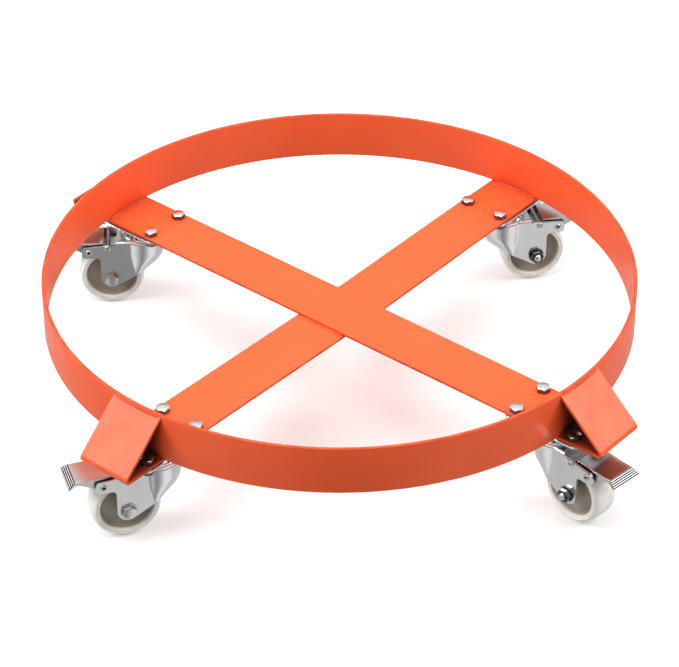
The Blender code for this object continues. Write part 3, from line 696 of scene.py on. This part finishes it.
def build_welds():
    """Beads where the ring stands on the bars, where each flap meets it, and where the bars cross."""
    half = BAR_WIDTH / 2 - 2.5 * MM
    for corner in CORNERS:
        angle = stations[corner]["bar_angle"]
        slot = "upper_bar_paint" if corner in ("front_right", "rear_left") else "lower_bar_paint"
        inside = ring_arc(RING_RADIUS - RING_WALL - 0.1 * MM, BAR_TOP, angle, half)
        outside = ring_arc(RING_RADIUS + 0.1 * MM, BAR_TOP, angle, half)
        top = ring_arc(RING_RADIUS, FLAP_TOP + 0.4 * MM, angle, half)
        bead(corner + "_inner_weld", inside, WELD_RADIUS, slot)
        bead(corner + "_outer_weld", outside, WELD_RADIUS, slot)
        bead(corner + "_flap_weld", top, THIN_WELD_RADIUS, slot)
    reach = BAR_WIDTH / 2 + 0.1 * MM
    for side in (-1, 1):
        count = int(2 * half / WELD_STEP)
        along = [(half * (2 * i / count - 1), side * reach, BAR_TOP - CROSSING_DROP)
                 for i in range(count + 1)]
        bead("crossing_weld_" + ("near" if side < 0 else "far"), along, THIN_WELD_RADIUS,
             "lower_bar_paint", Matrix.Rotation(math.radians(UPPER_BAR_ANGLE), 4, "Z"))


# --- Caster pieces, each about its own swivel axis ------------------------------------------

def plate_piece():
    """The caster's top plate, with round corners."""
    corners = [(PLATE_LENGTH / 2, PLATE_WIDTH / 2), (-PLATE_LENGTH / 2, PLATE_WIDTH / 2),
               (-PLATE_LENGTH / 2, -PLATE_WIDTH / 2), (PLATE_LENGTH / 2, -PLATE_WIDTH / 2)]
    mesh = prism("top_plate", rounded(corners, 9 * MM, 8), PLATE_THICKNESS, 0.5 * MM)
    mesh.transform(Matrix.Translation((0, 0, PLATE_TOP - PLATE_THICKNESS / 2)))
    return mesh


def mounting_bolt_piece():
    """Hex bolt, washer, nut and threaded end, as they sit through bar and plate."""
    head_low = BAR_TOP + 0.05 * MM
    nut_high = PLATE_BOTTOM - 1.0 * MM
    nut_height = 5.8 * MM
    end = PLATE_BOTTOM - 0.3 * MM - 6.5 * MM - 2.4 * MM
    washer_loop = rounded([(8.2 * MM, 0.0), (8.2 * MM, 0.95 * MM), (4.1 * MM, 0.95 * MM), (4.1 * MM, 0.0)],
                          0.25 * MM, 2)
    washer = lathe("washer", washer_loop, 48)
    head = hexagon_piece("head", 5.5 * MM, False)
    nut = hexagon_piece("nut", nut_height, True, BOLT_RADIUS - 0.05 * MM, 0.35 * MM)
    rod = threaded_rod("rod", -(head_low + 1 * MM), -end, -(nut_high - nut_height + 0.2 * MM))
    place = Matrix.Translation
    return joined("mounting_bolt", [
        (head, place((0, 0, head_low)) @ Matrix.Rotation(0.3, 4, "Z")),
        (washer, place((0, 0, PLATE_BOTTOM - 0.97 * MM))),
        (nut, place((0, 0, nut_high - nut_height)) @ Matrix.Rotation(0.5, 4, "Z")),
        (rod, Matrix.Rotation(math.pi, 4, "X")),
    ])


def race_piece():
    """The dished upper race, pressed from sheet, that hangs under the plate."""
    top = (PLATE_BOTTOM - 0.05 * MM) / MM
    low = RACE_BOTTOM / MM
    bore = KINGPIN_BORE / MM
    points = in_mm([(27.0, top), (27.0, top - 1.5), (24.0, 96.8), (21.2, 93.0), (20.6, low), (bore, low),
                    (bore, top)])
    return lathe("swivel_race", rounded(points, 1.4 * MM, 4), 72)


def balls_piece():
    """The balls that show between the two races."""
    bm = bmesh.new()
    for i in range(BALL_COUNT):
        angle = math.tau * i / BALL_COUNT
        centre = (BALL_CIRCLE * math.cos(angle), BALL_CIRCLE * math.sin(angle), BALL_HEIGHT)
        place = Matrix.Translation(centre)
        bmesh.ops.create_icosphere(bm, subdivisions=2, radius=BALL_RADIUS, matrix=place)
    return mesh_from(bm, "balls")


def kingpin_piece():
    """The kingpin, with its head under the fork's deck."""
    head_top = DECK_TOP - FORK_SHEET - 0.3 * MM
    points = [(0.0, PLATE_TOP - 0.3 * MM), (6.0 * MM, PLATE_TOP - 0.3 * MM), (6.0 * MM, head_top),
              (11.0 * MM, head_top), (11.0 * MM, head_top - 3.2 * MM), (8.6 * MM, head_top - 4.5 * MM),
              (3.0 * MM, head_top - 4.5 * MM), (2.2 * MM, head_top - 3.6 * MM), (0.0, head_top - 3.6 * MM)]
    return lathe("kingpin", rounded(points, 0.8 * MM, 3, closed=False), 48, closed=False)


def bow_outline(steps):
    """Half plan of the fork's front near the wheel: a tight bend, a flat flank and a rounded nose."""
    turn = math.radians(BEND_TURN)
    points = arc((FRONT_CENTRE, FORK_HALF - BEND_RADIUS), BEND_RADIUS, 90.0, 90.0 + BEND_TURN, steps // 2)
    across = points[-1][1]
    along = points[-1][0] - FRONT_TIP
    cosine, sine = math.cos(turn), math.sin(turn)
    flank = (along - across * (1 - sine) / cosine) / (cosine - sine * (1 - sine) / cosine)
    nose = (across - flank * sine) / cosine
    centre = (FRONT_TIP + nose, 0.0)
    return points + arc(centre, nose, 90.0 + BEND_TURN, 180.0, steps - steps // 2 - 1)


def fork_surface(steps):
    """The fork's outer face as an open sheet: two cheeks, a flared front and a short deck."""
    start = math.degrees(math.asin(FORK_HALF / DECK_RADIUS))
    left = [(FORK_REAR, FORK_HALF), (DECK_REAR + 3 * MM, FORK_HALF)]
    right = [(x, -y) for x, y in reversed(left)]
    bow = bow_outline(steps // 2)
    foot = left + bow + [(x, -y) for x, y in reversed(bow[:-1])] + right
    deck = left + arc((0.0, 0.0), DECK_RADIUS, start, 360.0 - start, steps) + right
    foot_height = WHEEL_RADIUS - LOBE_RADIUS - 5 * MM
    levels = [(0.0, foot_height), (0.0, FLARE_LOW - 3 * MM)]
    turns = 7
    for i in range(1, turns + 1):
        t = i / turns
        levels.append((t * t * (3 - 2 * t), FLARE_LOW - 3 * MM + (FLARE_HIGH - FLARE_LOW + 6 * MM) * t))
    levels.append((1.0, DECK_TOP))
    bm = bmesh.new()
    rows = []
    for share, height in levels:
        rows.append([bm.verts.new((a[0] + (b[0] - a[0]) * share, a[1] + (b[1] - a[1]) * share, height))
                     for a, b in zip(foot, deck)])
    for low, high in zip(rows, rows[1:]):
        for i in range(len(low) - 1):
            bm.faces.new((low[i], low[i + 1], high[i + 1], high[i]))
    bm.faces.new(rows[-1][1:-1])
    bmesh.ops.recalc_face_normals(bm, faces=bm.faces)
    mesh = bpy.data.meshes.new("fork")
    bm.to_mesh(mesh)
    bm.free()
    return mesh


def fork_side():
    """Side view of the fork: leading edge, axle lobe, notch and trailing arm."""
    loop = arc((TRAIL, WHEEL_RADIUS), LOBE_RADIUS, 0.0, LEADING_EDGE - 270.0, 28)
    slope = math.radians(LEADING_EDGE)
    run = loop[-1][0] + DECK_RADIUS + 5 * MM
    loop.append((loop[-1][0] - run, loop[-1][1] - run * math.tan(slope)))
    loop.append((loop[-1][0], DECK_TOP + 5 * MM))
    loop.append((DECK_REAR, DECK_TOP + 5 * MM))
    loop.append((DECK_REAR, ARM_TOP_FRONT))
    rear = FORK_REAR - MM
    loop += arc((rear - ARM_CORNER, ARM_TOP_REAR - ARM_CORNER), ARM_CORNER, 85.0, 0.0, 8)
    loop += arc((rear - ARM_CORNER, NOTCH_TOP + ARM_CORNER), ARM_CORNER, 0.0, -90.0, 8)
    notch = TRAIL + LOBE_RADIUS + NOTCH_RADIUS
    loop += arc((notch, NOTCH_TOP - NOTCH_RADIUS), NOTCH_RADIUS, 90.0, 180.0, 8)
    return loop


def cross_bore(radius, x, z):
    """A cylinder along Y that drills both cheeks, and where it goes."""
    reach = FORK_HALF + 5 * MM
    mesh = lathe("bore", [(0.0, reach), (radius, reach), (radius, -reach), (0.0, -reach)], 32, closed=False)
    return mesh, Matrix.Translation((x, 0.0, z)) @ SIDEWAYS


def fork_piece():
    """The pressed fork, with its raised lower race, ball groove and bores."""
    fork = scratch_object("fork", fork_surface(30))
    bend = fork.modifiers.new("deck_bend", "BEVEL")
    bend.width = 3.2 * MM
    bend.segments = 5
    bend.limit_method = "ANGLE"
    bend.angle_limit = math.radians(60.0)
    sheet = fork.modifiers.new("sheet", "SOLIDIFY")
    sheet.thickness = FORK_SHEET
    sheet.offset = -1.0
    sheet.use_even_offset = True
    combine(fork, side_prism("fork_side", fork_side(), 4 * FORK_HALF), "INTERSECT")
    crown = arc((CROWN_CIRCLE, DECK_TOP), CROWN_RADIUS, 180.0, 0.0, 10)
    race = lathe("race", crown + [(CROWN_OUTER, DECK_TOP - MM), (CROWN_INNER, DECK_TOP - MM)], 64)
    combine(fork, race, "UNION")
    groove = arc((BALL_CIRCLE, BALL_HEIGHT), BALL_RADIUS + BALL_CLEARANCE, 0.0, 345.0, 23)
    combine(fork, lathe("ball_groove", groove, 96), "DIFFERENCE")
    well = lathe("well", [(0.0, DECK_TOP + 9 * MM), (KINGPIN_BORE, DECK_TOP + 9 * MM),
                          (KINGPIN_BORE, DECK_TOP - 9 * MM), (0.0, DECK_TOP - 9 * MM)], 32, closed=False)
    combine(fork, well, "DIFFERENCE")
    for radius, x, z in ((AXLE_BORE, TRAIL, WHEEL_RADIUS), (PIN_BORE, PIVOT.x, PIVOT.z)):
        mesh, place = cross_bore(radius, x, z)
        combine(fork, mesh, "DIFFERENCE", place)
    return eased(applied(fork), 0.45 * MM)


def rivet_piece(name):
    """A tubular rivet across the fork, rolled over outside both cheeks."""
    face = FORK_HALF / MM + 0.05
    half = [(0.0, face - 7.0), (1.5, face - 7.0), (1.5, face + 0.7), (2.3, face + 1.25),
            (3.4, face + 0.95), (3.9, face), (2.4, face)]
    profile = in_mm(half + [(radius, -z) for radius, z in reversed(half)])
    return lathe(name, rounded(profile, 0.35 * MM, 3, closed=False), 32, closed=False)


def tread_piece():
    """The moulded tyre: crowned, with round shoulders and a step down to the wheel's recess."""
    half = [(36.0, 0.0), (35.9, 7.0), (35.4, 10.6), (34.2, 13.2), (32.6, 14.9), (31.6, 15.2), (31.1, 14.3),
            (30.6, 14.3), (30.2, 15.0), (28.9, 15.0), (28.1, 14.2), (27.8, 10.0)]
    profile = in_mm([(r, -y) for r, y in reversed(half)] + half[1:])
    return lathe("tread", rounded(profile, 1.2 * MM, 4), 112)


def core_piece():
    """The wheel's centre: a dished web and a hub that stands out to the cheeks."""
    half = [(28.0, 3.0), (28.0, 11.5), (27.2, 11.5), (25.2, 5.2), (22.0, 3.9), (13.5, 3.6), (11.2, 5.4),
            (10.4, 16.2), (9.9, 17.2), (4.7, 17.2)]
    profile = in_mm(half + [(r, -y) for r, y in reversed(half)])
    return lathe("core", rounded(profile, 1.2 * MM, 3), 80)


def axle_pieces():
    """The axle's head with its shank, and the nut with its washer."""
    face = FORK_HALF
    washer_loop = rounded([(8.3 * MM, 0.0), (8.3 * MM, 1.0 * MM), (4.2 * MM, 1.0 * MM), (4.2 * MM, 0.0)],
                          0.25 * MM, 2)
    washer = lathe("washer", washer_loop, 48)
    head = hexagon_piece("head", 4.7 * MM, False)
    nut = hexagon_piece("nut", 5.9 * MM, True, BOLT_RADIUS - 0.05 * MM, 0.35 * MM)
    tail = face + 9.2 * MM
    rod = threaded_rod("rod", -(face + 1.2 * MM), tail, face + 1.5 * MM)
    place = Matrix.Translation
    under_head = SIDEWAYS @ place((0, 0, -face - 0.9 * MM))
    upside_down = Matrix.Rotation(math.pi, 4, "X")
    bolt = joined("axle_bolt", [
        (rod, SIDEWAYS),
        (washer, under_head),
        (head, under_head @ upside_down @ Matrix.Rotation(0.3, 4, "Z")),
    ])
    nut_mesh = joined("axle_nut", [
        (washer, SIDEWAYS @ place((0, 0, face - 0.05 * MM))),
        (nut, SIDEWAYS @ place((0, 0, face + 0.95 * MM)) @ Matrix.Rotation(0.17, 4, "Z")),
    ])
    return bolt, nut_mesh


def pedal_side():
    """Side view of the pedal, with rolled ribs across its downturned lip."""
    lip = (LIP_END - LIP_START).normalized()
    out = Vector((-lip.y, lip.x))
    length = (LIP_END - LIP_START).length
    loop = [(PEDAL_FRONT, PEDAL_TOP), tuple(LIP_START)]
    pitch = (length - 1.4 * MM) / LIP_RIBS
    for rib in range(LIP_RIBS):
        centre = LIP_START + lip * (0.9 * MM + pitch * (rib + 0.5))
        for step in range(9):
            angle = math.pi * step / 8
            along = lip * math.cos(angle) * pitch * RIB_HALF_SHARE
            loop.append(tuple(centre - along + out * math.sin(angle) * RIB_HEIGHT))
    loop.append(tuple(LIP_END))
    under = -out * PEDAL_SHEET
    tip = LIP_END + under
    heel = LIP_START + under
    loop += [tuple(tip), (heel.x - 1.5 * MM, heel.y - 2.5 * MM)]
    loop += arc((PIVOT.x, PIVOT.z), 5.3 * MM, -60.0, -210.0, 20)
    loop.append((PEDAL_FRONT, PEDAL_TOP - 2.5 * PEDAL_SHEET))
    return loop


def pedal_piece():
    """A pressed channel with a flared lip and the shoe that meets the tread."""
    pedal = scratch_object("pedal", side_prism("pedal", pedal_side(), 3 * PEDAL_HALF))
    flare = (PEDAL_LIP_HALF - PEDAL_HALF) / (LIP_END.x - LIP_START.x)
    back = LIP_END.x + 5 * MM
    wide = PEDAL_HALF + flare * (back - LIP_START.x)
    side = [(PEDAL_FRONT - 5 * MM, PEDAL_HALF), (LIP_START.x, PEDAL_HALF), (back, wide)]
    plan = prism("plan", [(x, -y) for x, y in side] + side[::-1], 0.3)
    combine(pedal, plan, "INTERSECT")
    lip = (LIP_END - LIP_START).normalized()
    ceiling = PEDAL_TOP - PEDAL_SHEET
    corner = LIP_START.x - 0.6 * MM
    end = LIP_END.x + 10 * MM
    hollow = [(PEDAL_FRONT - 5 * MM, ceiling), (corner, ceiling),
              (end, ceiling + (end - corner) * lip.y / lip.x),
              (end, PIVOT.z - 20 * MM), (PEDAL_FRONT - 5 * MM, PIVOT.z - 20 * MM)]
    combine(pedal, side_prism("hollow", hollow, 2 * (PEDAL_HALF - PEDAL_SHEET)), "DIFFERENCE")
    shoe = [(SHOE_FRONT, SHOE_BOTTOM), (SHOE_REAR, SHOE_BOTTOM), (SHOE_REAR, SHOE_TOP),
            (SHOE_FRONT, SHOE_TOP)]
    combine(pedal, side_prism("shoe", shoe, 20 * MM), "UNION")
    bore, place = cross_bore(PIN_BORE, PIVOT.x, PIVOT.z)
    combine(pedal, bore, "DIFFERENCE", place)
    return eased(applied(pedal), 0.35 * MM)


def read_stations():
    """Each caster's swivel centre, bar angle and the way it trails, from the record's joints."""
    joints = {joint["name"]: joint for joint in frame["joints"]}
    found = {}
    for corner in CORNERS:
        swivel = Vector(joints[corner + "_swivel"]["pos_m"])
        axle = Vector(joints[corner + "_wheel_spin"]["pos_m"])
        towards = axle - swivel
        found[corner] = {
            "centre": Vector((swivel.x, swivel.y, 0.0)),
            "bar_angle": math.atan2(swivel.y, swivel.x),
            "trail_angle": math.atan2(towards.y, towards.x),
        }
    return found


def build_casters():
    """Draws each caster piece once and places it at all four corners."""
    axle_bolt, axle_nut = axle_pieces()
    brake_pin = rivet_piece("brake_pin")
    meshes = {
        "plate": plate_piece(), "race": race_piece(), "balls": balls_piece(), "kingpin": kingpin_piece(),
        "bolt": mounting_bolt_piece(), "fork": fork_piece(), "tread": tread_piece(), "core": core_piece(),
        "pedal": pedal_piece(), "tie": rivet_piece("tie_rivet"),
    }
    for corner, station in stations.items():
        centre = Matrix.Translation(station["centre"])
        fixed = centre @ Matrix.Rotation(station["bar_angle"], 4, "Z")
        swung = centre @ Matrix.Rotation(station["trail_angle"], 4, "Z")
        axle = swung @ Matrix.Translation((TRAIL, 0.0, WHEEL_RADIUS))
        fork_body = corner + "_fork_assembly"

        add_piece(corner + "_plate", meshes["plate"], "plate_zinc", "frame", [corner + "_top_plate"], fixed)
        add_piece(corner + "_race", meshes["race"], "race_steel", "frame", [corner + "_swivel_race"], fixed)
        add_piece(corner + "_balls", meshes["balls"], "race_steel", "frame", matrix=fixed)
        add_piece(corner + "_king_rivet", meshes["kingpin"], "kingpin_steel", "frame",
                  [corner + "_kingpin"], fixed)
        places = [(a * BOLT_SPACING_LONG / 2, b * BOLT_SPACING_WIDE / 2) for a in (-1, 1) for b in (-1, 1)]
        for number, (along, across) in enumerate(places, 1):
            node = f"{corner}_mounting_bolt_{number}"
            turn = Matrix.Rotation(0.45 * number + station["trail_angle"], 4, "Z")
            place = fixed @ Matrix.Translation((along, across, 0.0)) @ turn
            add_piece(f"{corner}_bolt_{number}", meshes["bolt"], "bolt_zinc", "frame", [node], place)

        add_piece(corner + "_fork_shell", meshes["fork"], "fork_chrome", fork_body, [corner + "_fork"], swung)
        add_piece(corner + "_axle", axle_bolt, "axle_steel", fork_body, [corner + "_axle_bolt"], axle)
        add_piece(corner + "_nut", axle_nut, "nut_steel", fork_body, [corner + "_axle_nut"], axle)
        add_piece(corner + "_pivot_rivet", brake_pin, "pin_steel", fork_body, [corner + "_brake_pin"],
                  swung @ Matrix.Translation(PIVOT) @ SIDEWAYS)
        add_piece(corner + "_tie_rivet", meshes["tie"], "pin_steel", fork_body,
                  matrix=swung @ Matrix.Translation(TIE) @ SIDEWAYS)
        add_piece(corner + "_tyre", meshes["tread"], "tread_polyurethane", corner + "_wheel",
                  [corner + "_tread"], axle @ SIDEWAYS)
        add_piece(corner + "_hub", meshes["core"], "core_polymer", corner + "_wheel",
                  [corner + "_wheel_core"], axle @ SIDEWAYS)
        add_piece(corner + "_pedal_plate", meshes["pedal"], "pedal_zinc", corner + "_pedal",
                  [corner + "_brake_pedal"], swung)


# --- Camera, lights and floor ----------------------------------------------------------------

CAMERA_AZIMUTH = math.radians(-5.2)
CAMERA_ELEVATION = math.radians(35.5)
CAMERA_DISTANCE = 3.03
CAMERA_AIM = Vector((0.0, 0.0, 0.075))
CAMERA_LENS = 152.0
FLOOR_SIZE = 12.0
WORLD_STRENGTH = 0.85
LIGHT_AIM = Vector((0.0, 0.0, 0.1))
# (Z of the direction, with -1 to 1 written as 0 to 1; grey level)
ROOM_HEIGHTS = ((0.0, 0.5), (0.47, 0.1), (0.6, 0.3), (0.78, 1.0))
# (Compass bearing in degrees from +X; grey level), fitted to the reflections seen from the front
GROUND_PANELS = (
    (-180.0, 0.66), (-140.0, 1.0), (-95.0, 0.3), (-75.0, 0.5), (-54.0, 1.0), (-28.0, 1.0), (-10.0, 0.66),
    (112.0, 0.84), (180.0, 0.66),
)


def build_camera():
    """A long lens that looks down on the dolly from the front."""
    run, rise = math.cos(CAMERA_ELEVATION), math.sin(CAMERA_ELEVATION)
    back = Vector((math.sin(CAMERA_AZIMUTH) * run, -math.cos(CAMERA_AZIMUTH) * run, rise))
    data = bpy.data.cameras.new("camera")
    data.sensor_width = 36.0
    data.lens = CAMERA_LENS
    camera = bpy.data.objects.new("camera", data)
    bpy.context.scene.collection.objects.link(camera)
    camera.location = CAMERA_AIM + back * CAMERA_DISTANCE
    camera.rotation_mode = "QUATERNION"
    camera.rotation_quaternion = (-back).to_track_quat("-Z", "Y")
    bpy.context.scene.camera = camera


def area_light(name, location, size, power):
    """A white rectangle of light that faces the dolly."""
    data = bpy.data.lights.new(name, "AREA")
    data.shape = "RECTANGLE"
    data.size, data.size_y = size
    data.energy = power
    light = bpy.data.objects.new(name, data)
    bpy.context.scene.collection.objects.link(light)
    light.location = location
    light.rotation_mode = "QUATERNION"
    light.rotation_quaternion = (LIGHT_AIM - Vector(location)).to_track_quat("-Z", "Y")


def grey_ramp(tree, value, stops):
    """A colour ramp of grey levels at the given positions."""
    ramp = tree.nodes.new("ShaderNodeValToRGB")
    elements = ramp.color_ramp.elements
    while len(elements) < len(stops):
        elements.new(0.5)
    for element, (position, grey) in zip(elements, stops):
        element.position = position
        element.color = (grey, grey, grey, 1.0)
    tree.links.new(value, ramp.inputs["Fac"])
    return ramp.outputs["Color"]


def build_world():
    """A room, white above and dark at the horizon, over light and dark ground panels by bearing.

    The panels are fitted to the reflections seen from the front, so this isn't plain studio light.
    """
    world = bpy.data.worlds.new("studio")
    bpy.context.scene.world = world
    world.use_nodes = True
    tree = world.node_tree
    background = tree.nodes["Background"]
    direction = axes(tree, "Generated")
    above = grey_ramp(tree, spread(tree, direction["Z"], 0.0, 1.0, -1.0, 1.0), ROOM_HEIGHTS)
    bearing = maths(tree, "ARCTAN2", direction["Y"], direction["X"])
    below = grey_ramp(tree, spread(tree, bearing, 0.0, 1.0, -math.pi, math.pi),
                      [((degrees + 180.0) / 360.0, grey) for degrees, grey in GROUND_PANELS])
    horizon = spread(tree, direction["Z"], 0.0, 1.0, -0.16, -0.02)
    tree.links.new(blended(tree, horizon, below, above), background.inputs["Color"])
    background.inputs["Strength"].default_value = WORLD_STRENGTH


def build_floor():
    """A pale paper floor, hidden from glossy and diffuse rays.

    The dolly reflects the world's ground panels instead of this floor.
    """
    bm = bmesh.new()
    bmesh.ops.create_grid(bm, x_segments=1, y_segments=1, size=FLOOR_SIZE)
    mesh = bpy.data.meshes.new("floor")
    bm.to_mesh(mesh)
    bm.free()
    material, shader = new_material("floor_paper")
    tree = material.node_tree
    tone = spread(tree, noise(tree, 3.0, 2.0), 0.0, 1.0)
    tree.links.new(blended(tree, tone, (0.93, 0.93, 0.925), (0.95, 0.95, 0.945)), shader.inputs["Base Color"])
    shader.inputs["Roughness"].default_value = 0.9
    shader.inputs["Specular IOR Level"].default_value = 0.1
    mesh.materials.append(material)
    floor = bpy.data.objects.new("floor", mesh)
    bpy.context.scene.collection.objects.link(floor)
    floor.location = (0.0, 0.0, -0.0003)
    floor.visible_glossy = False
    floor.visible_diffuse = False


stations = read_stations()
build_ring()
build_bar("upper_bar", "upper_cross_bar", "upper_bar_paint", UPPER_BAR_ANGLE, 0.0)
build_bar("lower_bar", "lower_cross_bar", "lower_bar_paint", LOWER_BAR_ANGLE, CROSSING_DROP)
build_welds()
build_casters()
build_camera()
build_world()
area_light("overhead", (-0.4, 0.0, 2.6), (2.4, 2.0), 36.0)
area_light("left", (-2.3, -0.2, 1.75), (1.4, 1.4), 44.0)
area_light("right", (2.3, -0.2, 1.75), (1.4, 1.4), 42.0)
build_floor()
bpy.data.collections.remove(scratch)

bpy.context.scene.view_settings.view_transform = "Standard"
